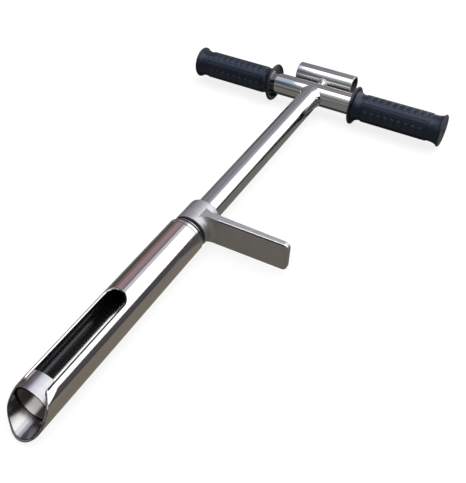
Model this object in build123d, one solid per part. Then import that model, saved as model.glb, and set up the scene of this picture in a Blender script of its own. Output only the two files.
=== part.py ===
from build123d import *
import os
from math import hypot, sqrt

os.makedirs("parts", exist_ok=True)

# Soil sampling auger, lying on its back: a slotted sampling tube on a shaft with a T handle.
# X runs along the handle, Y along the shaft from the tip to the handle, Z up from the floor.
# Lengths are millimetres, angles degrees.

# Sampling tube
tube_diameter = 38.1
tube_wall = 2.0
tube_length = 225.6         # from the plug's seam to the tip of the lip
slot_width = 22.8
slot_start = 92.5           # from the plug's seam to the round end of the slot
slot_end_flat = 3.8         # straight stretch between the round corners of the slot's end
slot_turn = 3.0             # the slot's centre line, turned about the tube
lip_height = 5.5            # the mouth's side view: steep lip, flat waist, oblique upper part
lip_rise = 5.3
waist_height = 17.5
waist_rise = 13.4
mouth_rise = 32.3           # from the tip to where the mouth meets the slot's edges
lip_radius = 20.0
waist_radius = 30.0
mouth_radius = 6.0
rim_bevel = 0.7             # broken outer edge all round the mouth
slot_bevel = 0.5            # and all round the slot
flat_depth = 0.5            # flats ground on the two corners between mouth and slot
flat_angle = 46.0           # from the slot's middle
flat_tilt = 4.2
seam_bevel = 0.25

# Sizing ring inside the mouth
ring_wall = 1.8
ring_height = 20.7
ring_setback = 20.4         # from the tip to the lowest point of the ring's end
ring_slope = 4.0            # rise of that end across the ring
ring_clearance = 0.05

# Plug that closes the tube and takes the shaft
plug_flange = 3.5
plug_rounding = 0.5
plug_spigot = 12.0
plug_floor = 4.0            # thickness left under the shaft's socket
spigot_clearance = 0.05
socket_clearance = 0.05

# Shaft and handle
shaft_diameter = 25.4
shaft_wall = 2.0
shaft_reach = 275.5         # from the handle's axis to the plug's face
bar_diameter = 25.4
bar_wall = 2.0
weld_leg = 5.0              # weld blend in the corners of the T
weld_swell = 1.0            # width of the blend a third of a leg below the handle
weld_bulge = 2.5            # and a third of a leg above the handle's underside
weld_gap = 0.05

# Strike tube behind the handle
strike_diameter = 25.4
strike_wall = 1.8
strike_length = 72.4
strike_stand = 10.9         # clear height between the handle and the strike tube
post_diameter = 9.0
post_flare = 2.0

# Rubber grips
grip_start = 51.5           # from the shaft's axis to the inner flange
grip_length = 107.0
grip_wall = 2.25            # at the neck
grip_end_wall = 4.0
grip_panel_lift = 0.85      # heights above the neck
grip_flange_lift = 7.0
grip_bell_lift = 3.2
grip_flange_edge = 3.0
grip_flange_dish = 2.0      # hollow of the flange's inner face at the handle
grip_flare = 8.5
grip_bell_edge = 3.0
grip_bell_flare = 9.0
grip_panel_start = 13.4
grip_panel_end = 15.0       # from the closed end
grip_clearance = 0.05
grip_turn_left = 8.0        # the left grip sits turned on the handle
groove_pairs = 4
groove_width = 1.5
groove_spread = 7.0         # each groove's angle from the rib between the pair
groove_depth = 0.9
groove_margin = 1.5
vent_diameter = 6.5

# Foot pedal, a casting that swivels on the shaft
collar_wall = 4.95
collar_shift = 0.8          # the collar is thicker on the plate's side
collar_foot = 9.5           # from the collar's lower end to the plate
collar_head = 10.3          # from the step face to the collar's top
collar_rounding = 3.0
collar_rim = 0.8
swivel_clearance = 0.3
pedal_reach = 98.9          # from the shaft's axis to the plate's end
pedal_width = 33.2
pedal_root = 8.2            # plate thickness at the shaft and at the end
pedal_tip = 5.2
pedal_rake = 3.3            # angle by which the plate's end leans back below
pedal_corner = 5.5
pedal_blend_under = 6.5
pedal_blend_step = 3.0
pedal_edge = 0.8

# Thrust washers between the plug and the collar
washer_thickness = 2.7
washer_width = 3.3
steel_washer_thickness = 0.8
steel_washer_width = 4.0
washer_clearance = 0.3

# Dog-point screw in the collar and its groove in the shaft
screw_diameter = 6.0
screw_recess = 0.5
screw_key = 3.0
screw_key_depth = 2.2
dog_diameter = 4.0
dog_engagement = 0.7
dog_clearance = 0.3
thread_clearance = 0.05

# Values that follow from the sizes above
tube_radius = tube_diameter / 2
tube_bore = tube_radius - tube_wall
shaft_radius = shaft_diameter / 2
bar_radius = bar_diameter / 2
strike_radius = strike_diameter / 2
strike_offset = bar_radius + strike_stand + strike_radius
grip_bore = bar_radius + grip_clearance
grip_neck = grip_bore + grip_wall
grip_end = grip_start + grip_length
tip_reach = shaft_reach + plug_flange + tube_length
far_reach = strike_offset + strike_radius
axis_height = grip_neck + grip_flange_lift
bar_y = (tip_reach - far_reach) / 2
plug_y = bar_y - shaft_reach
seam_y = plug_y - plug_flange
tip_y = seam_y - tube_length
socket_y = seam_y - plug_spigot + plug_floor
steel_washer_y = plug_y + washer_thickness
upper_washer_y = steel_washer_y + steel_washer_thickness
collar_y = upper_washer_y + washer_thickness + washer_clearance
under_y = collar_y + collar_foot
step_y = under_y + pedal_root
collar_top = step_y + collar_head
screw_y = (collar_y + collar_top) / 2
collar_bore = shaft_radius + swivel_clearance
collar_radius = collar_bore + collar_wall
washer_bore = shaft_radius + washer_clearance
shaft_axis = Axis((0, 0, axis_height), (0, 1, 0))
bar_axis = Axis((0, bar_y, axis_height), (1, 0, 0))

# Half planes for turned profiles: first coordinate along the axis, second outwards
along_shaft = Plane(origin=(0, 0, axis_height), x_dir=(0, 1, 0), z_dir=(1, 0, 0))
along_bar = Plane(origin=(0, bar_y, axis_height), x_dir=(1, 0, 0), z_dir=(0, -1, 0))


def rod_y(radius, start, end):
    """Round bar on the shaft's axis between two places along Y."""
    place = Pos(0, start, axis_height) * Rot(-90, 0, 0)
    return place * Cylinder(radius, end - start, align=(Align.CENTER, Align.CENTER, Align.MIN))


def ring_y(radius, bore, start, end):
    return rod_y(radius, start, end) - rod_y(bore, start, end)


def rod_x(radius, reach, y):
    """Round bar parallel to the handle, reaching equally far to both sides."""
    return Pos(0, y, axis_height) * Rot(0, 90, 0) * Cylinder(radius, 2 * reach)


def turned(outline, plane, axis):
    """Solid of revolution from a closed outline in one of the half planes."""
    return revolve(plane * make_face(outline), axis=axis)


def slot_cut():
    """Long window along the top of the tube, open towards the mouth and round-cornered at its end."""
    slot_end = seam_y - slot_start
    plan = Pos(0, (tip_y + slot_end) / 2) * Rectangle(slot_width, slot_end - tip_y)
    plan = fillet(plan.vertices().group_by(Axis.Y)[-1], (slot_width - slot_end_flat) / 2)
    return Pos(0, 0, axis_height) * extrude(plan, tube_diameter)


def mouth_cut():
    """Oblique cut across the tube's end, running out into the slot's edges."""
    edge_height = sqrt(tube_radius**2 - slot_width**2 / 4)
    below = tube_radius + tube_wall
    tip_depth = tube_radius - rim_bevel * lip_height / hypot(lip_height, lip_rise)
    lip_slope = lip_rise / (lip_height - tube_radius + tip_depth)
    front = tip_y - tube_radius
    back = tip_y + mouth_rise + tube_radius
    mouth = FilletPolyline(
        (tip_y - lip_slope * (below - tip_depth), -below),
        (tip_y + lip_rise, lip_height - tube_radius),
        (tip_y + waist_rise, waist_height - tube_radius),
        (tip_y + mouth_rise, edge_height),
        (back, edge_height),
        radius=(lip_radius, waist_radius, mouth_radius),
    )
    rest = Polyline(mouth @ 1, (back, below), (front, below), (front, -below), mouth @ 0)
    return extrude(along_shaft * make_face([mouth, rest]), tube_diameter, both=True)


def corner_flat(angle):
    """Cutter for the flat on one corner of the mouth, running out along the slot's edge."""
    corner = Pos(0, tip_y + mouth_rise, axis_height) * Rot(0, angle, 0) * Pos(0, 0, tube_radius - flat_depth)
    lift = (Align.CENTER, Align.CENTER, Align.MIN)
    return corner * Rot(flat_tilt, 0, 0) * Box(tube_diameter, 2 * mouth_rise, tube_diameter, align=lift)


def outer_edges(tube):
    return tube.faces().filter_by(GeomType.CYLINDER).sort_by(SortBy.AREA)[-1].edges()


def sampling_tube():
    """Slotted tube with an oblique mouth, its rim and slot edges broken and its corners ground flat."""
    tube = ring_y(tube_radius, tube_bore, tip_y - rim_bevel, seam_y) - slot_cut() - mouth_cut()
    rim = outer_edges(tube).filter_by(GeomType.LINE, reverse=True)
    tube = chamfer(rim.filter_by_position(Axis.Y, tip_y - rim_bevel, tip_y + mouth_rise), rim_bevel)
    slot = outer_edges(tube).filter_by_position(Axis.Z, axis_height + slot_width / 2, axis_height + tube_radius)
    tube = chamfer(slot.filter_by_position(Axis.Y, tip_y + mouth_rise, seam_y - slot_start), slot_bevel)
    tube -= corner_flat(flat_angle)
    tube -= corner_flat(-flat_angle)
    seam = tube.edges().filter_by(GeomType.CIRCLE).group_by(Axis.Y)[-1].sort_by(SortBy.RADIUS)[-1]
    return chamfer(seam, seam_bevel).rotate(shaft_axis, -slot_turn)


def sizing_ring():
    """Sleeve in the mouth with a slightly oblique end."""
    outer = tube_bore - ring_clearance
    edge = tip_y + ring_setback
    front = edge - ring_slope
    middle = edge + ring_slope / 2
    rise = ring_slope / 2 * tube_radius / outer
    below = Polyline((front, -tube_radius), (middle - rise, -tube_radius), (middle + rise, tube_radius),
                     (front, tube_radius), close=True)
    sleeve = ring_y(outer, outer - ring_wall, front, edge + ring_height)
    return sleeve - extrude(along_shaft * make_face(below), tube_diameter, both=True)


def tube_end_plug():
    spigot = tube_bore - spigot_clearance
    socket = shaft_radius + socket_clearance
    end = seam_y - plug_spigot
    outline = FilletPolyline(
        (end, 0), (end, spigot), (seam_y, spigot), (seam_y, tube_radius - seam_bevel),
        (seam_y + seam_bevel, tube_radius), (plug_y, tube_radius), (plug_y, socket),
        (socket_y, socket), (socket_y, 0), radius=(0, 0, 0, 0, 0, plug_rounding, 0, 0, 0), close=True)
    return turned(outline, along_shaft, shaft_axis)


def shaft():
    """Handle shaft, coped to the crossbar, with a groove for the pedal screw's dog point."""
    tube = ring_y(shaft_radius, shaft_radius - shaft_wall, socket_y + socket_clearance, bar_y)
    half = dog_diameter / 2 + dog_clearance
    groove_floor = shaft_radius - dog_engagement - dog_clearance
    tube -= ring_y(collar_bore, groove_floor, screw_y - half, screw_y + half)
    return tube - rod_x(bar_radius + weld_gap, bar_radius + shaft_radius, bar_y)


def crossbar():
    reach = grip_end - grip_end_wall
    return rod_x(bar_radius, reach, bar_y) - rod_x(bar_radius - bar_wall, reach, bar_y)


def handle_weld(side):
    """Blend in one corner of the T, thick in the handle's plane and feathered out above and below."""
    spread = shaft_radius + weld_leg
    front = bar_y - bar_radius
    levels = ((front - weld_leg, shaft_radius), (front - weld_leg / 3, shaft_radius + weld_swell),
              (front + weld_leg / 3, shaft_radius + weld_bulge), (bar_y, spread))
    sections = [Plane(origin=(0, y, axis_height), x_dir=(1, 0, 0), z_dir=(0, -1, 0))
                * Ellipse(reach, shaft_radius - weld_gap) for y, reach in levels]
    blend = loft(sections) - rod_y(shaft_radius + weld_gap, front - 2 * weld_leg, bar_y)
    blend -= rod_x(bar_radius + weld_gap, 2 * spread, bar_y)
    return blend & Pos(side * spread, bar_y, axis_height) * Box(2 * spread, 4 * spread, 4 * spread)


def grip_body():
    """Turned form of a grip: dished inner flange, raised panels, bell-shaped closed end with a vent."""
    flange_half = grip_flange_edge / 2
    flange_top = grip_neck + grip_flange_lift
    flange_out = grip_start + grip_flange_edge
    bell_half = grip_bell_edge / 2
    bell_top = grip_neck + grip_bell_lift
    bell_in = grip_end - grip_bell_edge
    panel = grip_neck + grip_panel_lift
    panel_in = grip_start + grip_panel_start
    panel_out = grip_end - grip_panel_end
    floor = grip_end - grip_end_wall + grip_clearance
    vent = vent_diameter / 2
    flange = ThreePointArc((grip_start, flange_top - flange_half), (grip_start + flange_half, flange_top),
                           (flange_out, flange_top - flange_half))
    flare = TangentArc((flange_out + grip_flare, grip_neck), flange @ 1, tangent=(-1, 0))
    bell_flare = TangentArc((bell_in - grip_bell_flare, grip_neck), (bell_in, bell_top - bell_half),
                            tangent=(1, 0))
    bell = ThreePointArc(bell_flare @ 1, (bell_in + bell_half, bell_top), (grip_end, bell_top - bell_half))
    panels = Polyline(flare @ 0, (panel_in, grip_neck), (panel_in + grip_panel_lift, panel),
                      (panel_out - grip_panel_lift, panel), (panel_out, grip_neck), bell_flare @ 0)
    inside = Polyline(bell @ 1, (grip_end, vent), (floor, vent), (floor, grip_bore),
                      (grip_start + grip_flange_dish, grip_bore), flange @ 0)
    return turned([flange, flare, panels, bell_flare, bell, inside], along_bar, bar_axis)


def grip(side, turn):
    """One rubber grip with pairs of grooves along its panels."""
    body = grip_body()
    start = grip_start + grip_panel_start + groove_margin
    end = grip_end - grip_panel_end - groove_margin
    top = axis_height + grip_neck + grip_panel_lift
    groove = Pos((start + end) / 2, bar_y, top) * Box(end - start, groove_width, 2 * groove_depth)
    pitch = 360 / groove_pairs
    for k in range(groove_pairs):
        for offset in (-groove_spread, groove_spread):
            body -= groove.rotate(bar_axis, pitch * k + pitch / 2 + offset)
    body = body.rotate(bar_axis, turn)
    return body if side > 0 else body.mirror(Plane.YZ)


def strike_tube():
    y = bar_y + strike_offset
    half = strike_length / 2
    return rod_x(strike_radius, half, y) - rod_x(strike_radius - strike_wall, half, y)


def strike_post():
    """Weld post, waisted between its two beads and shaped to both tubes."""
    start = bar_y + bar_radius - post_flare
    end = start + strike_stand + 2 * post_flare
    waist = post_diameter / 2
    foot = waist + post_flare
    side = ThreePointArc((start, foot), ((start + end) / 2, waist), (end, foot))
    rest = Polyline((end, foot), (end, 0), (start, 0), (start, foot))
    post = turned([side, rest], along_shaft, shaft_axis)
    post -= rod_x(bar_radius + weld_gap, 2 * foot, bar_y)
    return post - rod_x(strike_radius + weld_gap, 2 * foot, bar_y + strike_offset)


def pedal_plate():
    """Tapered step plate with rounded corners and edges, starting inside the collar."""
    side = Polyline((0, step_y), (pedal_reach, step_y), (pedal_reach, step_y - pedal_tip),
                    (0, under_y), close=True)
    plate = Pos(0, 0, axis_height) * extrude(make_face(side), pedal_width / 2, both=True)
    far = Pos(pedal_reach, step_y, axis_height + pedal_width / 2) * Rot(0, pedal_rake, 0)
    plate -= far * Box(pedal_width, pedal_width, 3 * pedal_width, align=(Align.MIN, Align.CENTER, Align.CENTER))
    plate = fillet(plate.edges().filter_by(Axis.Y).sort_by(Axis.X)[-2:], pedal_corner)
    rim = plate.edges().filter_by(Axis.Y, reverse=True).filter_by_position(Axis.X, pedal_edge, pedal_reach)
    return fillet(rim, pedal_edge)


def pedal_blend():
    """Concave blends from the collar to both faces of the plate, as wide as the plate."""
    foot = collar_radius + 2 * pedal_blend_under
    sunk_y = under_y + (pedal_root - pedal_tip) * foot / pedal_reach
    low_y = sunk_y - pedal_blend_under
    high_y = step_y + pedal_blend_step
    under = CenterArc((low_y, collar_radius + pedal_blend_under), pedal_blend_under, -90, 90)
    step = CenterArc((high_y, collar_radius + pedal_blend_step), pedal_blend_step, 180, 90)
    inside = Polyline(step @ 1, (high_y, shaft_radius), (low_y, shaft_radius), under @ 0)
    ring = turned([under, Line(under @ 1, step @ 0), step, inside], along_shaft, shaft_axis)
    return ring & Pos(foot / 2, step_y, axis_height) * Box(foot, 4 * foot, pedal_width)


def foot_pedal():
    collar = rod_y(collar_radius, collar_y, collar_top)
    collar = fillet(collar.edges().filter_by(GeomType.CIRCLE).group_by(Axis.Y)[-1], collar_rounding)
    collar = fillet(collar.edges().filter_by(GeomType.CIRCLE).group_by(Axis.Y)[0], collar_rim)
    boss = Pos(collar_shift, 0, 0)
    casting = boss * collar + pedal_plate() + boss * pedal_blend() - rod_y(collar_bore, collar_y, collar_top)
    tapped = Cylinder(screw_diameter / 2 + thread_clearance, collar_radius,
                      align=(Align.CENTER, Align.CENTER, Align.MAX))
    return casting - Pos(0, screw_y, axis_height) * tapped


def pedal_screw():
    """Set screw pointing up at the shaft, with a key socket below and a plain dog point."""
    head = collar_radius - screw_recess
    shank_top = collar_bore + dog_clearance
    dog_top = shaft_radius - dog_engagement
    down = (Align.CENTER, Align.CENTER, Align.MAX)
    shank = Pos(0, 0, -shank_top) * Cylinder(screw_diameter / 2, head - shank_top, align=down)
    dog = Pos(0, 0, -dog_top) * Cylinder(dog_diameter / 2, shank_top - dog_top, align=down)
    key = Pos(0, 0, -head) * extrude(RegularPolygon(screw_key / 2, 6, major_radius=False), screw_key_depth)
    return Pos(0, screw_y, axis_height) * (shank + dog - key)


def washer(width, start, thickness):
    return ring_y(washer_bore + width, washer_bore, start, start + thickness)


parts = {
    "sampling_tube": sampling_tube(),
    "sizing_ring": sizing_ring(),
    "tube_end_plug": tube_end_plug(),
    "shaft": shaft(),
    "crossbar": crossbar(),
    "handle_weld_left": handle_weld(-1),
    "handle_weld_right": handle_weld(1),
    "grip_left": grip(-1, grip_turn_left),
    "grip_right": grip(1, 0),
    "strike_post": strike_post(),
    "strike_tube": strike_tube(),
    "thrust_washer_lower": washer(washer_width, plug_y, washer_thickness),
    "thrust_washer_steel": washer(steel_washer_width, steel_washer_y, steel_washer_thickness),
    "thrust_washer_upper": washer(washer_width, upper_washer_y, washer_thickness),
    "foot_pedal": foot_pedal(),
    "pedal_screw": pedal_screw(),
}

for name, solid in parts.items():
    export_step(solid, f"parts/{name}.step")
    print(name, round(solid.volume, 1))
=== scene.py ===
import math
import bmesh
import bpy
from mathutils import Matrix, Vector


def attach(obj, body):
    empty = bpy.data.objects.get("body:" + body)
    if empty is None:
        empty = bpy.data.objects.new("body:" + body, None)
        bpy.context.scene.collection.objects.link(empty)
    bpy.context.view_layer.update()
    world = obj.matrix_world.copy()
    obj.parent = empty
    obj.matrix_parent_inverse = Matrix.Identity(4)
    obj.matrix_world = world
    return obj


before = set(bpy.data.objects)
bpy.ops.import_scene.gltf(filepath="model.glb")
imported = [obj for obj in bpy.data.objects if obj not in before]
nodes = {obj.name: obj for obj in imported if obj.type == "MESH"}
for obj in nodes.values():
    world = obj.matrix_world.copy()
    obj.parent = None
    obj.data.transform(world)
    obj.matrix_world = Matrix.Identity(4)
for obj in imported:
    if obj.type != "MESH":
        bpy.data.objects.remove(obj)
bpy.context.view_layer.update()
scene = bpy.context.scene
print("frame loaded:", len(nodes), "nodes")

axisHeight = 0.022      # shaft, handle and strike tube all lie at this height
barY = 0.2278           # handle's axis
barRadius = 0.0127      # of the handle and the strike tube
strikeY = 0.2641        # strike tube's axis


# camera, as the photograph was taken
cameraSet = {
    "place": (0.26576, -0.38171, 0.44257),
    "right": (0.85779581, 0.51327353, -0.02714107),
    "up": (-0.35041743, 0.62262428, 0.6996761),
    "sensor": 36,
    "lens": 47.16,
    "shift": (-0.00104, 0.00104),
    "clipStart": 0.01,
}


def placeCamera(s):
    data = bpy.data.cameras.new("photoCamera")
    data.sensor_fit = "AUTO"
    data.sensor_width = s["sensor"]
    data.lens = s["lens"]
    data.shift_x, data.shift_y = s["shift"]
    data.clip_start = s["clipStart"]
    camera = bpy.data.objects.new("photoCamera", data)
    scene.collection.objects.link(camera)
    right, up = Vector(s["right"]), Vector(s["up"])
    turn = Matrix((right, up, right.cross(up))).transposed()
    camera.matrix_world = Matrix.Translation(s["place"]) @ turn.to_4x4()
    scene.camera = camera


placeCamera(cameraSet)
print("camera placed")


# helpers for node trees: first the single nodes
def add(tree, kind, **sockets):
    node = tree.nodes.new(kind)
    for name, value in sockets.items():
        node.inputs[name].default_value = value
    return node


def join(tree, source, target):
    tree.links.new(source, target)


def fedBy(socket):
    return socket.links[0].from_socket


def feed(tree, socket, value):
    if isinstance(value, (int, float)):
        socket.default_value = value
    elif isinstance(value, tuple):
        socket.default_value = (*value, 1)
    else:
        join(tree, value, socket)


def calc(tree, operation, first, second=0.0):
    node = tree.nodes.new("ShaderNodeMath")
    node.operation = operation
    feed(tree, node.inputs[0], first)
    feed(tree, node.inputs[1], second)
    return node.outputs[0]


def vectorCalc(tree, operation, *vectors):
    node = tree.nodes.new("ShaderNodeVectorMath")
    node.operation = operation
    for socket, vector in zip(node.inputs, vectors):
        join(tree, vector, socket)
    return node.outputs["Value" if operation == "DOT_PRODUCT" else "Vector"]


def spread(tree, value, low, high, toLow, toHigh):
    node = tree.nodes.new("ShaderNodeMapRange")
    for name, amount in zip(("Value", "From Min", "From Max", "To Min", "To Max"),
                            (value, low, high, toLow, toHigh)):
        feed(tree, node.inputs[name], amount)
    return node.outputs["Result"]


# places of the Mix node's two inputs and its output, by kind of data
mixSockets = {"VECTOR": (4, 5, 1), "RGBA": (6, 7, 2)}


def blend(tree, kind, factor, first, second, way="MIX"):
    node = tree.nodes.new("ShaderNodeMix")
    node.data_type = kind
    node.blend_type = way
    firstPlace, secondPlace, result = mixSockets[kind]
    feed(tree, node.inputs[0], factor)
    feed(tree, node.inputs[firstPlace], first)
    feed(tree, node.inputs[secondPlace], second)
    return node.outputs[result]


def blendColor(tree, factor, first, second):
    return blend(tree, "RGBA", factor, first, second)


def blendValue(tree, factor, first, second):
    return spread(tree, factor, 0, 1, first, second)


# then sums that recur
def overlap(tree, first, *others):
    for other in others:
        first = calc(tree, "MULTIPLY", first, other)
    return first


def inverse(tree, mask):
    return calc(tree, "SUBTRACT", 1.0, mask)


def length(tree, first, second):
    square = calc(tree, "ADD", calc(tree, "POWER", first, 2.0), calc(tree, "POWER", second, 2.0))
    return calc(tree, "POWER", square, 0.5)


def sloped(tree, value, start, slope):
    return calc(tree, "ADD", calc(tree, "MULTIPLY", value, slope), start)


def coordinate(tree, kind, axis):
    where = tree.nodes.new("ShaderNodeTexCoord")
    parts = tree.nodes.new("ShaderNodeSeparateXYZ")
    join(tree, where.outputs[kind], parts.inputs[0])
    return parts.outputs[axis]


# where it is looked at straight on, in a mirror or through glass
def lookedAt(tree):
    path = tree.nodes.new("ShaderNodeLightPath")
    seen = calc(tree, "MAXIMUM", path.outputs["Is Camera Ray"], path.outputs["Is Glossy Ray"])
    return calc(tree, "MAXIMUM", seen, path.outputs["Is Transmission Ray"])


# groups and materials
number, triple = "NodeSocketFloat", "NodeSocketVector"


def startGroup(name, inputs, outputs):
    group = bpy.data.node_groups.new(name, "ShaderNodeTree")
    for label, kind, value in inputs:
        socket = group.interface.new_socket(name=label, in_out="INPUT", socket_type=kind)
        socket.default_value = value
    for label, kind in outputs:
        group.interface.new_socket(name=label, in_out="OUTPUT", socket_type=kind)
    return group, group.nodes.new("NodeGroupInput"), group.nodes.new("NodeGroupOutput")


def useGroup(tree, group, **values):
    node = tree.nodes.new("ShaderNodeGroup")
    node.node_tree = group
    for name, value in values.items():
        node.inputs[name].default_value = value
    return node


def openMaterial(material):
    tree = material.node_tree
    return tree, tree.nodes["Principled BSDF"]


def startMaterial(name):
    material = bpy.data.materials.new(name)
    material.use_nodes = True
    return material, *openMaterial(material)


# mottle: soft blotches of handling and polish, drawn out into streaks by the stretch
mottleSet = {"scale": 60, "detail": 4, "roughness": 0.6, "range": (0.3, 0.7)}


def mottleGroup(s):
    group, given, result = startGroup(
        "mottle",
        [("Scale", number, s["scale"]), ("Stretch", triple, (1, 1, 1)),
         ("Low", number, 0.0), ("High", number, 1.0)],
        [("Value", number), ("Mask", number)])
    where = group.nodes.new("ShaderNodeTexCoord")
    noise = add(group, "ShaderNodeTexNoise", Detail=s["detail"], Roughness=s["roughness"])
    stretched = vectorCalc(group, "MULTIPLY", where.outputs["Object"], given.outputs["Stretch"])
    join(group, stretched, noise.inputs["Vector"])
    join(group, given.outputs["Scale"], noise.inputs["Scale"])
    mask = spread(group, noise.outputs["Fac"], *s["range"], 0, 1)
    join(group, mask, result.inputs["Mask"])
    join(group, blendValue(group, mask, given.outputs["Low"], given.outputs["High"]), result.inputs["Value"])
    return group


# grain: fine pits and grit, as a height
grainSet = {"scale": 900, "detail": 6, "roughness": 0.7}


def grainGroup(s):
    group, given, result = startGroup("grain", [("Scale", number, s["scale"])], [("Height", number)])
    where = group.nodes.new("ShaderNodeTexCoord")
    noise = add(group, "ShaderNodeTexNoise", Detail=s["detail"], Roughness=s["roughness"])
    join(group, where.outputs["Object"], noise.inputs["Vector"])
    join(group, given.outputs["Scale"], noise.inputs["Scale"])
    join(group, noise.outputs["Fac"], result.inputs["Height"])
    return group


# edge: the normal that makes light catch an edge as if it were slightly rounded, only near it,
# and a mask of where the surface turns over, by the cosine between rounded and plain normal
edgeSet = {"radius": 0.0012, "samples": 6, "cosine": (0.995, 0.955)}


def edgeGroup(s):
    group, given, result = startGroup(
        "edge",
        [("Radius", number, s["radius"]), ("Near", number, 1.0)],
        [("Mask", number), ("Normal", triple)])
    bevel = group.nodes.new("ShaderNodeBevel")
    bevel.samples = s["samples"]
    join(group, given.outputs["Radius"], bevel.inputs["Radius"])
    rounded = bevel.outputs["Normal"]
    plain = group.nodes.new("ShaderNodeNewGeometry").outputs["Normal"]
    cosine = vectorCalc(group, "DOT_PRODUCT", rounded, plain)
    join(group, spread(group, cosine, *s["cosine"], 0, 1), result.inputs["Mask"])
    join(group, blend(group, "VECTOR", given.outputs["Near"], plain, rounded), result.inputs["Normal"])
    return group


# polar: how far a point lies from the shaft's axis, how far along it and at what angle from the top
def polarGroup():
    group, given, result = startGroup(
        "polar", [("Height", number, axisHeight)], [("Radius", number), ("Along", number), ("Angle", number)])
    where = group.nodes.new("ShaderNodeTexCoord")
    parts = group.nodes.new("ShaderNodeSeparateXYZ")
    join(group, where.outputs["Object"], parts.inputs[0])
    rise = calc(group, "SUBTRACT", parts.outputs["Z"], given.outputs["Height"])
    join(group, length(group, parts.outputs["X"], rise), result.inputs["Radius"])
    join(group, parts.outputs["Y"], result.inputs["Along"])
    join(group, calc(group, "ARCTAN2", parts.outputs["X"], rise), result.inputs["Angle"])
    return group


# track: a band along the inside where a highlight is painted, a little left of the lowest line
# its middle and its half widths, full and faded out, are angles round the shaft
trackSet = {"middle": -155}


def trackGroup(s):
    group, given, result = startGroup(
        "track",
        [("Angle", number, 0.0), ("Middle", number, math.radians(s["middle"])),
         ("Full", number, 0.0), ("Fade", number, 1.0)],
        [("Mask", number)])
    apart = calc(group, "SUBTRACT", given.outputs["Angle"], given.outputs["Middle"])
    mask = spread(group, calc(group, "ABSOLUTE", apart), given.outputs["Full"], given.outputs["Fade"], 1, 0)
    join(group, mask, result.inputs["Mask"])
    return group


mottle = mottleGroup(mottleSet)
grain = grainGroup(grainSet)
edge = edgeGroup(edgeSet)
polar = polarGroup()
track = trackGroup(trackSet)


# steps that several materials share
def mottledRoughness(tree, s, stretch=(1, 1, 1)):
    low, high = s["roughness"]
    return useGroup(tree, mottle, Scale=s["roughScale"], Stretch=stretch, Low=low, High=high)


def bump(tree, height, strength, distance, base=None):
    node = add(tree, "ShaderNodeBump", Strength=strength, Distance=distance)
    join(tree, height, node.inputs["Height"])
    if base is not None:
        join(tree, base, node.inputs["Normal"])
    return node.outputs["Normal"]


def bumpNodes(tree):
    return [node for node in tree.nodes if node.bl_idname == "ShaderNodeBump"]


def setSurface(tree, shader, color, roughness, normal=None):
    join(tree, color, shader.inputs["Base Color"])
    join(tree, roughness, shader.inputs["Roughness"])
    if normal is not None:
        join(tree, normal, shader.inputs["Normal"])


# two tones in blotches, with a fine grit
def grittySurface(tree, shader, s):
    tone = useGroup(tree, mottle, Scale=s["toneScale"])
    fine = useGroup(tree, grain, Scale=s["grainScale"])
    setSurface(tree, shader,
               blendColor(tree, tone.outputs["Mask"], *s["tones"]),
               mottledRoughness(tree, s).outputs["Value"],
               bump(tree, fine.outputs["Height"], *s["grainBump"]))


# another colour, and roughness, where the mask is
def layOver(tree, shader, mask, color, roughness=None):
    under = shader.inputs["Base Color"]
    join(tree, blendColor(tree, mask, fedBy(under), color), under)
    if roughness is not None:
        under = shader.inputs["Roughness"]
        join(tree, blendValue(tree, mask, fedBy(under), roughness), under)


# the normal that the bumps start from
def setBaseNormal(tree, normal):
    for node in bumpNodes(tree):
        if not node.inputs["Normal"].is_linked:
            join(tree, normal, node.inputs["Normal"])


# mask of the band with the painted highlight
def highlightTrack(tree, place, half):
    full, fade = (math.radians(angle) for angle in half)
    band = useGroup(tree, track, Full=full, Fade=fade)
    join(tree, place.outputs["Angle"], band.inputs["Angle"])
    return band.outputs["Mask"]


# polished steel: drawn streaks along the tube and faint smudges
# each bump is a strength and a depth
polishedSet = {
    "color": (0.80, 0.79, 0.785),
    "smudge": (0.68, 0.665, 0.655),
    "smudgeScale": 18,
    "roughness": (0.03, 0.07),
    "roughScale": 45,
    "drawnScale": 330,
    "drawnBump": (0.05, 0.0001),
    "grainScale": 700,
    "grainBump": (0.012, 0.0001),
    "stretch": {                        # of smudges and of drawn streaks
        "shaft": ((3, 0.35, 3), (1, 0.015, 1)),
        "handle": ((0.35, 3, 3), (0.015, 1, 1)),
    },
}


def polishedSteel(name, lies, s=polishedSet):
    material, tree, shader = startMaterial(name)
    shader.inputs["Metallic"].default_value = 1
    along, drawn = s["stretch"][lies]
    marks = useGroup(tree, mottle, Scale=s["smudgeScale"], Stretch=along)
    lines = useGroup(tree, mottle, Scale=s["drawnScale"], Stretch=drawn)
    fine = useGroup(tree, grain, Scale=s["grainScale"])
    normal = bump(tree, lines.outputs["Mask"], *s["drawnBump"])
    setSurface(tree, shader,
               blendColor(tree, marks.outputs["Mask"], s["color"], s["smudge"]),
               mottledRoughness(tree, s, along).outputs["Value"],
               bump(tree, fine.outputs["Height"], *s["grainBump"], normal))
    return material


# strike tube: as the handle, with matt sawn ends and a dusty bore
strikeSet = {
    "cut": (0.93, 0.925, 0.92),
    "cutRoughness": 0.42,
    "cutFacing": 0.9,
    "cutRounding": 0.0018,
    "cutStart": 0.0337,
    "bore": (0.12, 0.102, 0.098),
    "boreRadius": 0.0116,
    "boreRoughness": 0.6,
    "boreMetallic": 0.4,
}


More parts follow.
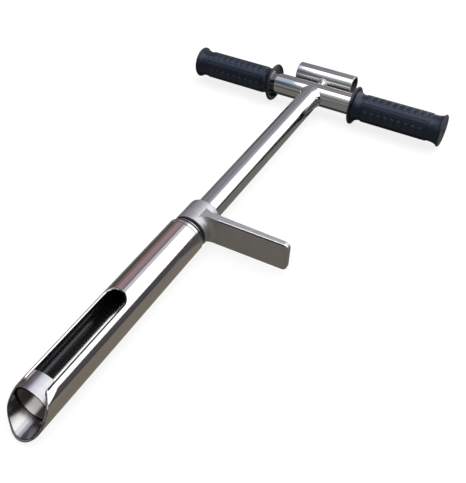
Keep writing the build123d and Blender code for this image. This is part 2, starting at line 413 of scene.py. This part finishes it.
def strikeSteel(s=strikeSet):
    material = polishedSteel("strikeSteel", "handle")
    tree, shader = openMaterial(material)
    rise = calc(tree, "SUBTRACT", coordinate(tree, "Object", "Z"), axisHeight)
    aside = calc(tree, "SUBTRACT", coordinate(tree, "Object", "Y"), strikeY)
    bore = calc(tree, "LESS_THAN", length(tree, rise, aside), s["boreRadius"])
    facing = calc(tree, "ABSOLUTE", coordinate(tree, "Normal", "X"))
    cut = calc(tree, "GREATER_THAN", facing, s["cutFacing"])
    layOver(tree, shader, bore, s["bore"], s["boreRoughness"])
    layOver(tree, shader, cut, s["cut"], s["cutRoughness"])
    join(tree, blendValue(tree, bore, 1.0, s["boreMetallic"]), shader.inputs["Metallic"])
    reach = calc(tree, "ABSOLUTE", coordinate(tree, "Object", "X"))
    rounding = useGroup(tree, edge, Radius=s["cutRounding"])
    join(tree, calc(tree, "GREATER_THAN", reach, s["cutStart"]), rounding.inputs["Near"])
    setBaseNormal(tree, rounding.outputs["Normal"])
    return material


# sampling tube: polished outside, duller inside but for a band with a painted highlight
# painted shade darkens the mouth's edges and the slot's right edge, and the slot's left wall is worn over and
# bright
# the leans tip the normal, forward on the track and upward on that wall
tubeSet = {
    # painted shade: colour of the dark line along the mouth's edges and the slot's right edge
    "edge": (0.02, 0.02, 0.024),
    "edgeRadius": 0.0012,
    "outside": 0.0184,
    "slotMiddle": -0.194,
    "slotReach": 0.0505,
    "slotTurn": 3,
    "slotFlat": 0.0019,
    "slotCorner": 0.0095,
    "slotEnd": -0.1437,
    "slotLine": (0.0011, 0.0014),
    "wallReach": 0.0002,
    "wallLean": 1.0,
    "boreRadius": 0.01755,
    "ringY": -0.2375,                   # lip in front of it, chamber behind it
    "chamber": (0.27, 0.266, 0.272),
    # the track's colours here and in the lip are a painted highlight
    "chamberTrack": (0.85, 0.845, 0.85),
    "chamberRoughness": 0.12,
    "chamberMetallic": 0.96,
    "lip": (0.31, 0.29, 0.30),
    "lipTrack": (0.61, 0.605, 0.615),
    "lipRoughness": 0.20,
    "trackHalf": (6, 26),
    "trackLean": 0.22,
    "stain": (0.75, 1.0),
    "stainScale": 30,
    "stainStretch": (2, 0.4, 2),
}


# the painted shade along rim and slot, and the slot's left wall
def slotMasks(tree, place, solid, turned, s):
    radius, along = place.outputs["Radius"], place.outputs["Along"]
    fromMiddle = calc(tree, "ABSOLUTE", calc(tree, "SUBTRACT", along, s["slotMiddle"]))
    bySlot = calc(tree, "LESS_THAN", fromMiddle, s["slotReach"])
    turn = calc(tree, "ADD", place.outputs["Angle"], math.radians(s["slotTurn"]))
    across = calc(tree, "MULTIPLY", radius, calc(tree, "SINE", turn))
    right = calc(tree, "GREATER_THAN", across, 0.0)
    beside = calc(tree, "SUBTRACT", calc(tree, "ABSOLUTE", across), s["slotFlat"])
    past = calc(tree, "SUBTRACT", along, s["slotEnd"] - s["slotCorner"])
    reach = length(tree, calc(tree, "MAXIMUM", beside, 0.0), calc(tree, "MAXIMUM", past, 0.0))
    fromSlot = calc(tree, "SUBTRACT", reach, s["slotCorner"])
    outer = calc(tree, "GREATER_THAN", radius, s["outside"])
    # painted shade: a dark line beside the slot's right edge, and on the turned edges away from the slot
    line = overlap(tree, spread(tree, fromSlot, *s["slotLine"], 1, 0), outer, right, bySlot)
    rim = overlap(tree, turned, inverse(tree, bySlot))
    wall = overlap(tree, calc(tree, "LESS_THAN", fromSlot, s["wallReach"]), solid, bySlot)
    return calc(tree, "MAXIMUM", rim, line), overlap(tree, wall, inverse(tree, right))


def samplingTubeSteel(s=tubeSet):
    material = polishedSteel("samplingTubeSteel", "shaft")
    tree, shader = openMaterial(material)
    place = useGroup(tree, polar)
    inside = calc(tree, "LESS_THAN", place.outputs["Radius"], s["boreRadius"])
    solid = inverse(tree, inside)
    lip = calc(tree, "LESS_THAN", place.outputs["Along"], s["ringY"])
    chamber = overlap(tree, inside, inverse(tree, lip))
    paintedHighlight = highlightTrack(tree, place, s["trackHalf"])
    rounding = useGroup(tree, edge, Radius=s["edgeRadius"])
    dark, leftWall = slotMasks(tree, place, solid, rounding.outputs["Mask"], s)
    bare = blendColor(tree, lip, s["chamber"], s["lip"])
    # painted highlight along the track
    highlightTone = blendColor(tree, lip, s["chamberTrack"], s["lipTrack"])
    low, high = s["stain"]
    stain = useGroup(tree, mottle, Scale=s["stainScale"], Stretch=s["stainStretch"], Low=low, High=high)
    dull = blend(tree, "RGBA", 1, blendColor(tree, paintedHighlight, bare, highlightTone), stain.outputs["Value"], "MULTIPLY")
    layOver(tree, shader, inside, dull, blendValue(tree, lip, s["chamberRoughness"], s["lipRoughness"]))
    # painted shade on those edges
    layOver(tree, shader, dark, s["edge"])
    join(tree, blendValue(tree, chamber, 1.0, s["chamberMetallic"]), shader.inputs["Metallic"])
    for node in bumpNodes(tree):
        height = node.inputs["Height"]
        join(tree, overlap(tree, fedBy(height), solid), height)
    lean = tree.nodes.new("ShaderNodeCombineXYZ")
    join(tree, overlap(tree, chamber, paintedHighlight, -s["trackLean"]), lean.inputs["Y"])
    join(tree, overlap(tree, leftWall, s["wallLean"]), lean.inputs["Z"])
    leaning = vectorCalc(tree, "ADD", rounding.outputs["Normal"], lean.outputs["Vector"])
    setBaseNormal(tree, vectorCalc(tree, "NORMALIZE", leaning))
    return material


# satin steel of the sizing ring, the thin washer and the screw, with turning marks round it
# front-facing ends get painted shade and a painted shadow line runs where the ring's front end meets its
# bore; the ring's bore is brown with a painted highlight along its track
satinSet = {
    "color": (0.55, 0.55, 0.59),
    "shade": (0.49, 0.485, 0.51),
    "roughness": (0.28, 0.36),
    "roughScale": 60,
    "roughStretch": (1, 8, 1),
    "turnedScale": 40,
    "turnedStretch": (0.3, 40, 0.3),
    "turnedBump": (0.02, 0.0001),
    "bore": (0.22, 0.20, 0.18),
    # painted highlight along the bore's track
    "boreTrack": (1.0, 0.97, 0.94),
    "boreRadius": 0.0160,
    "boreRoughness": 0.45,
    "boreHalf": (13, 24),
    "boreMetallic": 0.3,
    # painted shade on front-facing ends and painted shadow on the line at the ring's front end
    "end": (0.006, 0.006, 0.006),
    "endFacing": -0.6,
    "endPlane": (-0.2544, 0.1176),      # the ring's front end at the axis and its slope
    "endLine": (0.0001, 0.0003),
    "endRoughness": 0.75,
}


def satinSteel(s=satinSet):
    material, tree, shader = startMaterial("satinSteel")
    turned = useGroup(tree, mottle, Scale=s["turnedScale"], Stretch=s["turnedStretch"])
    setSurface(tree, shader,
               blendColor(tree, turned.outputs["Mask"], s["color"], s["shade"]),
               mottledRoughness(tree, s, s["roughStretch"]).outputs["Value"],
               bump(tree, turned.outputs["Mask"], *s["turnedBump"]))
    place = useGroup(tree, polar)
    bore = calc(tree, "LESS_THAN", place.outputs["Radius"], s["boreRadius"])
    paintedHighlight = highlightTrack(tree, place, s["boreHalf"])
    rise = calc(tree, "SUBTRACT", coordinate(tree, "Object", "Z"), axisHeight)
    behind = calc(tree, "SUBTRACT", place.outputs["Along"], sloped(tree, rise, *s["endPlane"]))
    # painted shadow line inside the bore, just behind the ring's front end
    line = overlap(tree, spread(tree, behind, *s["endLine"], 1, 0), bore)
    facing = calc(tree, "LESS_THAN", coordinate(tree, "Normal", "Y"), s["endFacing"])
    # painted highlight on the bore's track
    layOver(tree, shader, bore, blendColor(tree, paintedHighlight, s["bore"], s["boreTrack"]), s["boreRoughness"])
    layOver(tree, shader, calc(tree, "MAXIMUM", line, facing), s["end"], s["endRoughness"])
    metallic = blendValue(tree, overlap(tree, bore, paintedHighlight), 1.0, s["boreMetallic"])
    join(tree, metallic, shader.inputs["Metallic"])
    return material


# blasted casting of the pedal: a highlight is painted along the top of the plate's front edge and shade is
# painted just below it
castSet = {
    "tones": ((0.57, 0.58, 0.61), (0.49, 0.485, 0.49)),
    "toneScale": 25,
    "roughness": (0.38, 0.50),
    "roughScale": 90,
    "grainScale": 1300,
    "grainBump": (0.2, 0.0002),
    "metallic": 0.9,
    "plateStart": 0.026,
    "plateTop": 0.0386,
    "plateFront": (-0.0317, 0.0303),    # the front face's place at the shaft and its slope
    # painted highlight along the top of the front edge, and painted shade just below it
    "paintedHighlight": (0.97, 0.975, 0.99),
    "highlightWidth": 0.0016,
    "highlightFacing": (0.5, 0.6),
    "underShade": (0.09, 0.09, 0.09),
    "underShadeDepth": 0.0019,
    "underShadeFacing": (-0.7, -0.8),
    "solidShare": 0.8,                  # of either width, before it fades
}


def castSteel(s=castSet):
    material, tree, shader = startMaterial("blastedCasting")
    shader.inputs["Metallic"].default_value = s["metallic"]
    grittySurface(tree, shader, s)
    reach = coordinate(tree, "Object", "X")
    plate = calc(tree, "GREATER_THAN", reach, s["plateStart"])
    behind = calc(tree, "SUBTRACT", coordinate(tree, "Object", "Y"), sloped(tree, reach, *s["plateFront"]))
    below = calc(tree, "SUBTRACT", s["plateTop"], coordinate(tree, "Object", "Z"))
    up = spread(tree, coordinate(tree, "Normal", "Z"), *s["highlightFacing"], 0, 1)
    ahead = spread(tree, coordinate(tree, "Normal", "Y"), *s["underShadeFacing"], 0, 1)
    # painted highlight on the up-facing band at the edge, painted shade on the front-facing band below it
    for facing, depth, width, color in ((up, behind, s["highlightWidth"], s["paintedHighlight"]),
                                        (ahead, below, s["underShadeDepth"], s["underShade"])):
        band = spread(tree, depth, s["solidShare"] * width, width, 1, 0)
        layOver(tree, shader, overlap(tree, plate, facing, band), color)
    return material


# black-blue grip rubber, paler on the pads
# the hollow of the inner flange is slick and mirrors the handle
rubberSet = {
    "tones": ((0.0055, 0.0065, 0.0145), (0.0105, 0.0125, 0.026)),
    "toneScale": 35,
    "roughness": (0.26, 0.36),
    "roughScale": 70,
    "grainScale": 1100,
    "grainBump": (0.2, 0.0003),
    "specular": 0.66,
    "tint": (0.66, 0.80, 1.0),
    "hollow": (0.0035, 0.0036, 0.0045),
    "hollowEnd": 0.0556,
    "hollowFacing": 0.6,
    "hollowRoughness": 0.14,
    "hollowCoat": 0.5,
}
padSet = {**rubberSet, "tones": ((0.009, 0.0105, 0.019), (0.021, 0.025, 0.040))}


def gripRubber(name, s):
    material, tree, shader = startMaterial(name)
    shader.inputs["Specular IOR Level"].default_value = s["specular"]
    shader.inputs["Specular Tint"].default_value = (*s["tint"], 1)
    shader.inputs["Coat Roughness"].default_value = s["hollowRoughness"]
    grittySurface(tree, shader, s)
    reach = calc(tree, "ABSOLUTE", coordinate(tree, "Object", "X"))
    facing = calc(tree, "ABSOLUTE", coordinate(tree, "Normal", "X"))
    hollow = overlap(tree, calc(tree, "LESS_THAN", reach, s["hollowEnd"]),
                     calc(tree, "GREATER_THAN", facing, s["hollowFacing"]))
    layOver(tree, shader, hollow, s["hollow"], s["hollowRoughness"])
    join(tree, overlap(tree, hollow, s["hollowCoat"]), shader.inputs["Coat Weight"])
    return material


# black washers of the pedal's thrust stack, a little dusty
washerSet = {
    "color": (0.004, 0.004, 0.005),
    "dust": (0.014, 0.0135, 0.013),
    "roughness": (0.4, 0.6),
    "roughScale": 150,
    "specular": 0.2,
}


def washerPlastic(s=washerSet):
    material, tree, shader = startMaterial("washerPlastic")
    shader.inputs["Specular IOR Level"].default_value = s["specular"]
    rough = mottledRoughness(tree, s)
    color = blendColor(tree, rough.outputs["Mask"], s["color"], s["dust"])
    setSurface(tree, shader, color, rough.outputs["Value"])
    return material


def dress(material, *names):
    for name in names:
        slots = nodes[name].data.materials
        slots.clear()
        slots.append(material)


shaftSteel = polishedSteel("shaftSteel", "shaft")
dress(samplingTubeSteel(), "sampling_tube")
dress(shaftSteel, "tube_end_plug", "shaft", "handle_weld_left", "handle_weld_right", "strike_post")
dress(polishedSteel("handleSteel", "handle"), "crossbar")
dress(strikeSteel(), "strike_tube")
dress(satinSteel(), "sizing_ring", "thrust_washer_steel", "pedal_screw")
dress(castSteel(), "foot_pedal")
dress(gripRubber("gripRubber", rubberSet), "grip_left", "grip_right")
dress(washerPlastic(), "thrust_washer_lower", "thrust_washer_upper")
print("materials on")


# helpers for added pieces
def bridge(mesh, low, high):
    for k in range(len(low)):
        m = (k + 1) % len(low)
        mesh.faces.new((low[k], low[m], high[m], high[k]))


def finishPiece(mesh, name, material):
    bmesh.ops.recalc_face_normals(mesh, faces=mesh.faces)
    for face in mesh.faces:
        face.smooth = True
    data = bpy.data.meshes.new(name)
    mesh.to_mesh(data)
    mesh.free()
    piece = bpy.data.objects.new(name, data)
    scene.collection.objects.link(piece)
    data.materials.append(material)
    return piece


# weld beads at both ends of the strike post: a rippled ring lying on the tube
beadSet = {"ring": 0.0060, "thickness": 0.0009, "ripple": 0.00016, "ripples": 22, "steps": 176, "sides": 10}


def weldBead(name, side, tubeY, s):
    mesh = bmesh.new()
    rings = []
    for i in range(s["steps"]):
        angle = 2 * math.pi * i / s["steps"]
        size = s["thickness"] + s["ripple"] * abs(math.sin(s["ripples"] * angle / 2))
        rise = s["ring"] * math.sin(angle)
        onTube = tubeY + side * math.sqrt(barRadius ** 2 - rise ** 2)
        middle = Vector((s["ring"] * math.cos(angle), onTube, axisHeight + rise))
        out = Vector((math.cos(angle), 0, math.sin(angle)))
        ring = []
        for k in range(s["sides"]):
            turn = 2 * math.pi * k / s["sides"]
            lift = Vector((0, side * size * math.sin(turn), 0))
            ring.append(mesh.verts.new(middle + out * size * math.cos(turn) + lift))
        rings.append(ring)
    for ring, after in zip(rings, rings[1:] + rings[:1]):
        bridge(mesh, ring, after)
    bead = finishPiece(mesh, name, shaftSteel)
    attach(bead, "auger")


weldBead("weldBeadHandle", 1, barY, beadSet)
weldBead("weldBeadStrike", -1, strikeY, beadSet)
print("weld beads laid")


# raised pads on each grip's panels: plain rounded cushions where the photograph has raised marks
gripPadSet = {
    "radius": 0.01585,              # the panels' own
    "panels": 4,
    "start": 0.0707,
    "pitch": 0.0081,
    "count": 9,
    "half": (0.0030, 0.0062),       # along the handle and round it
    "power": 3.5,
    "layers": [(1.0, -0.0003), (1.0, 0.00004), (0.88, 0.00026), (0.6, 0.00038)],    # outline's share, lift
    "points": 16,
    "turnLeft": -8,
}
padRubber = gripRubber("padRubber", padSet)


def padOutline(s):
    along, across = s["half"]
    power = 2 / s["power"]
    for k in range(s["points"]):
        angle = 2 * math.pi * k / s["points"]
        c, n = math.cos(angle), math.sin(angle)
        yield along * math.copysign(abs(c) ** power, c), across * math.copysign(abs(n) ** power, n)


def gripPads(name, side, turn, s):
    mesh = bmesh.new()
    outline = list(padOutline(s))

    def corner(along, angle, lift):
        out = s["radius"] + lift
        y, z = barY + out * math.sin(angle), axisHeight + out * math.cos(angle)
        return mesh.verts.new((side * along, y, z))

    for panel in range(s["panels"]):
        angle = math.radians(360 / s["panels"] * panel + turn)
        for column in range(s["count"]):
            middle = s["start"] + s["pitch"] * column
            rings = [[corner(middle + a * size, angle + b * size / s["radius"], lift) for a, b in outline]
                     for size, lift in s["layers"]]
            for low, high in zip(rings, rings[1:]):
                bridge(mesh, low, high)
            mesh.faces.new(rings[0])
            mesh.faces.new(rings[-1])
    pads = finishPiece(mesh, name, padRubber)
    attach(pads, "auger")


gripPads("gripPadsLeft", -1, gripPadSet["turnLeft"], gripPadSet)
gripPads("gripPadsRight", 1, 0, gripPadSet)
print("grip pads raised")


def flatPiece(name, corners):
    mesh = bpy.data.meshes.new(name)
    mesh.from_pydata(corners, [], [(0, 1, 2, 3)])
    piece = bpy.data.objects.new(name, mesh)
    scene.collection.objects.link(piece)
    return piece


def rectangle(x0, y0, x1, y1, z):
    return [(x0, y0, z), (x1, y0, z), (x1, y1, z), (x0, y1, z)]


# floor: white where it is looked at, and it keeps the shadow
floorSet = {"half": 3.0, "drop": 0.0003, "color": (0.22, 0.22, 0.22), "lift": 0.83}


def layFloor(s):
    half = s["half"]
    floor = flatPiece("floor", rectangle(-half, -half, half, half, 0))
    floor.location.z = -s["drop"]
    material, tree, shader = startMaterial("floorPaper")
    shader.inputs["Base Color"].default_value = (*s["color"], 1)
    shader.inputs["Roughness"].default_value = 1
    shader.inputs["Specular IOR Level"].default_value = 0
    shader.inputs["Emission Color"].default_value = (1, 1, 1, 1)
    join(tree, overlap(tree, lookedAt(tree), s["lift"]), shader.inputs["Emission Strength"])
    floor.data.materials.append(material)


layFloor(floorSet)


# cards that only show in the steel's reflections
# arcs span angles round the shaft, 0 straight up and positive towards +X, between two places along Y
# walls stand in front, between two heights, and grounds lie under the tool
sky = (1.7, 1.7, 1.7)
cardSet = {
    "distance": 3.0,
    "arcs": [
        ("skyTube", 2, 69, -0.6, 2.0, sky),
        ("skyFront", 2, 36, -2.0, -0.6, sky),
        ("rightShade", 36, 69, -2.0, -0.6, (0.05, 0.05, 0.05)),
        ("skyShaft", 8, 76, 2.0, 9.0, sky),
        ("hedgeTube", 69, 92, -2.0, 2.0, (0.084, 0.074, 0.084)),
        ("hedgeShaft", 76, 92, 2.0, 9.0, (0.09, 0.089, 0.087)),
        ("tubeLow", -95, -74, -0.9, 2.0, (0.115, 0.093, 0.091)),
        ("tubeMid", -74, -56, -0.9, 2.0, (0.235, 0.165, 0.163)),
        ("tubeHigh", -56, -37, 0.9, 2.0, (0.375, 0.27, 0.288)),
        ("tubeLine", -37, -27, 0.9, 2.0, (0.375, 0.27, 0.288)),
        ("lipShade", -56, -37, -0.9, 0.9, (0.16, 0.15, 0.18)),
        ("tubeEdge", -27, -15, 1.1, 2.0, (0.25, 0.205, 0.24)),
        ("tubeTop", -15, 2, 1.2, 2.0, (0.67, 0.66, 0.745)),
        ("shaftLow", -95, -74, 2.0, 9.0, (0.20, 0.20, 0.207)),
        ("shaftMid", -74, -56, 2.0, 9.0, (0.244, 0.239, 0.26)),
        ("shaftHigh", -56, -40, 2.0, 9.0, (0.284, 0.279, 0.31)),
        ("shaftLine", -40, -27, 2.0, 9.0, (0.239, 0.235, 0.27)),
        ("shaftEdge", -27, -14, 2.0, 9.0, (0.339, 0.328, 0.387)),
        ("shaftTop", -14, -1, 2.0, 9.0, (0.40, 0.40, 0.458)),
        ("shaftRim", -1, 8, 2.0, 9.0, (0.71, 0.73, 0.79)),
        ("zenith", -22.0, -4, -0.9, 1.05, sky),
        ("blueSky", -27, -22.0, -0.9, 0.9, (0.48, 0.58, 0.73)),
        ("leftSky", -37, -27, -0.9, 0.9, (1.35, 1.55, 1.90)),
        ("frontHaze", -24, -4, -1.7, -0.9, (0.56, 0.59, 0.61)),
        ("blueHaze", -37, -24, -1.7, -0.9, (0.14, 0.19, 0.26)),
        ("frontShade", -27.6, -4, -3.0, -1.7, (0.30, 0.32, 0.34)),
        ("blueShade", -37, -27.6, -2.75, -1.7, (0.065, 0.088, 0.12)),
        ("farShade", -37, -27.6, -3.0, -2.75, (0.19, 0.20, 0.21)),
    ],
    "wallHalf": 6,
    "walls": [
        ("frontLow", 0.0, 0.5, (0.075, 0.075, 0.075)),
        ("frontMid", 0.5, 1.8, (0.235, 0.237, 0.238)),
        ("frontHigh", 1.8, 2.7, (0.14, 0.144, 0.153)),
    ],
    "grounds": [
        ("groundFar", (-9.0, -9.0, 9.0, 9.0, -0.00012), (0.075, 0.071, 0.076)),
        ("groundTube", (-0.16, -0.6, 0.16, -0.03, -0.00010), (0.215, 0.194, 0.16)),
        ("groundShaft", (-0.15, -0.03, 0.15, 0.4, -0.00010), (0.19, 0.187, 0.18)),
        ("groundHandle", (-0.32, 0.06, 0.32, 0.4, -0.00008), (0.19, 0.187, 0.178)),
        # painted shadow: dark strips on the ground, between handle and strike tube and under the handle
        ("strikeShadowStrip", (-0.05, 0.2360, 0.05, 0.2625, -0.00006), (0.012, 0.012, 0.012)),
        ("handleShadowStrip", (-0.16, 0.2085, 0.16, 0.2235, -0.00006), (0.04, 0.039, 0.037)),
    ],
}


def glossyOnly(name, corners, color):
    card = flatPiece(name, corners)
    material = bpy.data.materials.new(name)
    material.use_nodes = True
    tree = material.node_tree
    tree.nodes.clear()
    glow = add(tree, "ShaderNodeEmission", Color=(*color, 1), Strength=1)
    out = tree.nodes.new("ShaderNodeOutputMaterial")
    join(tree, glow.outputs[0], out.inputs["Surface"])
    card.data.materials.append(material)
    card.visible_camera = False
    card.visible_diffuse = False
    card.visible_shadow = False
    card.visible_transmission = False


def setCards(s):
    away, half = s["distance"], s["wallHalf"]

    def side(angle):
        return away * math.sin(math.radians(angle)), axisHeight + away * math.cos(math.radians(angle))

    for name, low, high, front, back, color in s["arcs"]:
        (x0, z0), (x1, z1) = side(low), side(high)
        glossyOnly(name, [(x0, front, z0), (x0, back, z0), (x1, back, z1), (x1, front, z1)], color)
    for name, low, high, color in s["walls"]:
        corners = [(-half, -away, low), (half, -away, low), (half, -away, high), (-half, -away, high)]
        glossyOnly(name, corners, color)
    for name, sides, color in s["grounds"]:
        glossyOnly(name, rectangle(*sides), color)


setCards(cardSet)
print("floor and cards set")


# light: one large soft lamp overhead, a little to the right and behind, and an even sky
lampSet = {
    "over": {"place": (0.7, 0.6, 2.4), "aim": (0, 0, 0), "size": (3.0, 4.0), "power": 90},
    "sky": 0.28,
}


def hangLamp(name, s):
    data = bpy.data.lights.new(name, "AREA")
    data.shape = "RECTANGLE"
    data.size, data.size_y = s["size"]
    data.energy = s["power"]
    lamp = bpy.data.objects.new(name, data)
    scene.collection.objects.link(lamp)
    lamp.location = s["place"]
    lamp.rotation_euler = (Vector(s["aim"]) - Vector(s["place"])).to_track_quat("-Z", "Y").to_euler()
    lamp.visible_glossy = False


def paintWorld(level):
    world = bpy.data.worlds.new("studio")
    scene.world = world
    world.use_nodes = True
    tree = world.node_tree
    ground = tree.nodes["Background"]
    ground.inputs["Color"].default_value = (1, 1, 1, 1)
    join(tree, blendValue(tree, lookedAt(tree), level, 1.0), ground.inputs["Strength"])


hangLamp("overLamp", lampSet["over"])
paintWorld(lampSet["sky"])
scene.view_settings.view_transform = "Standard"
print("lamps on")
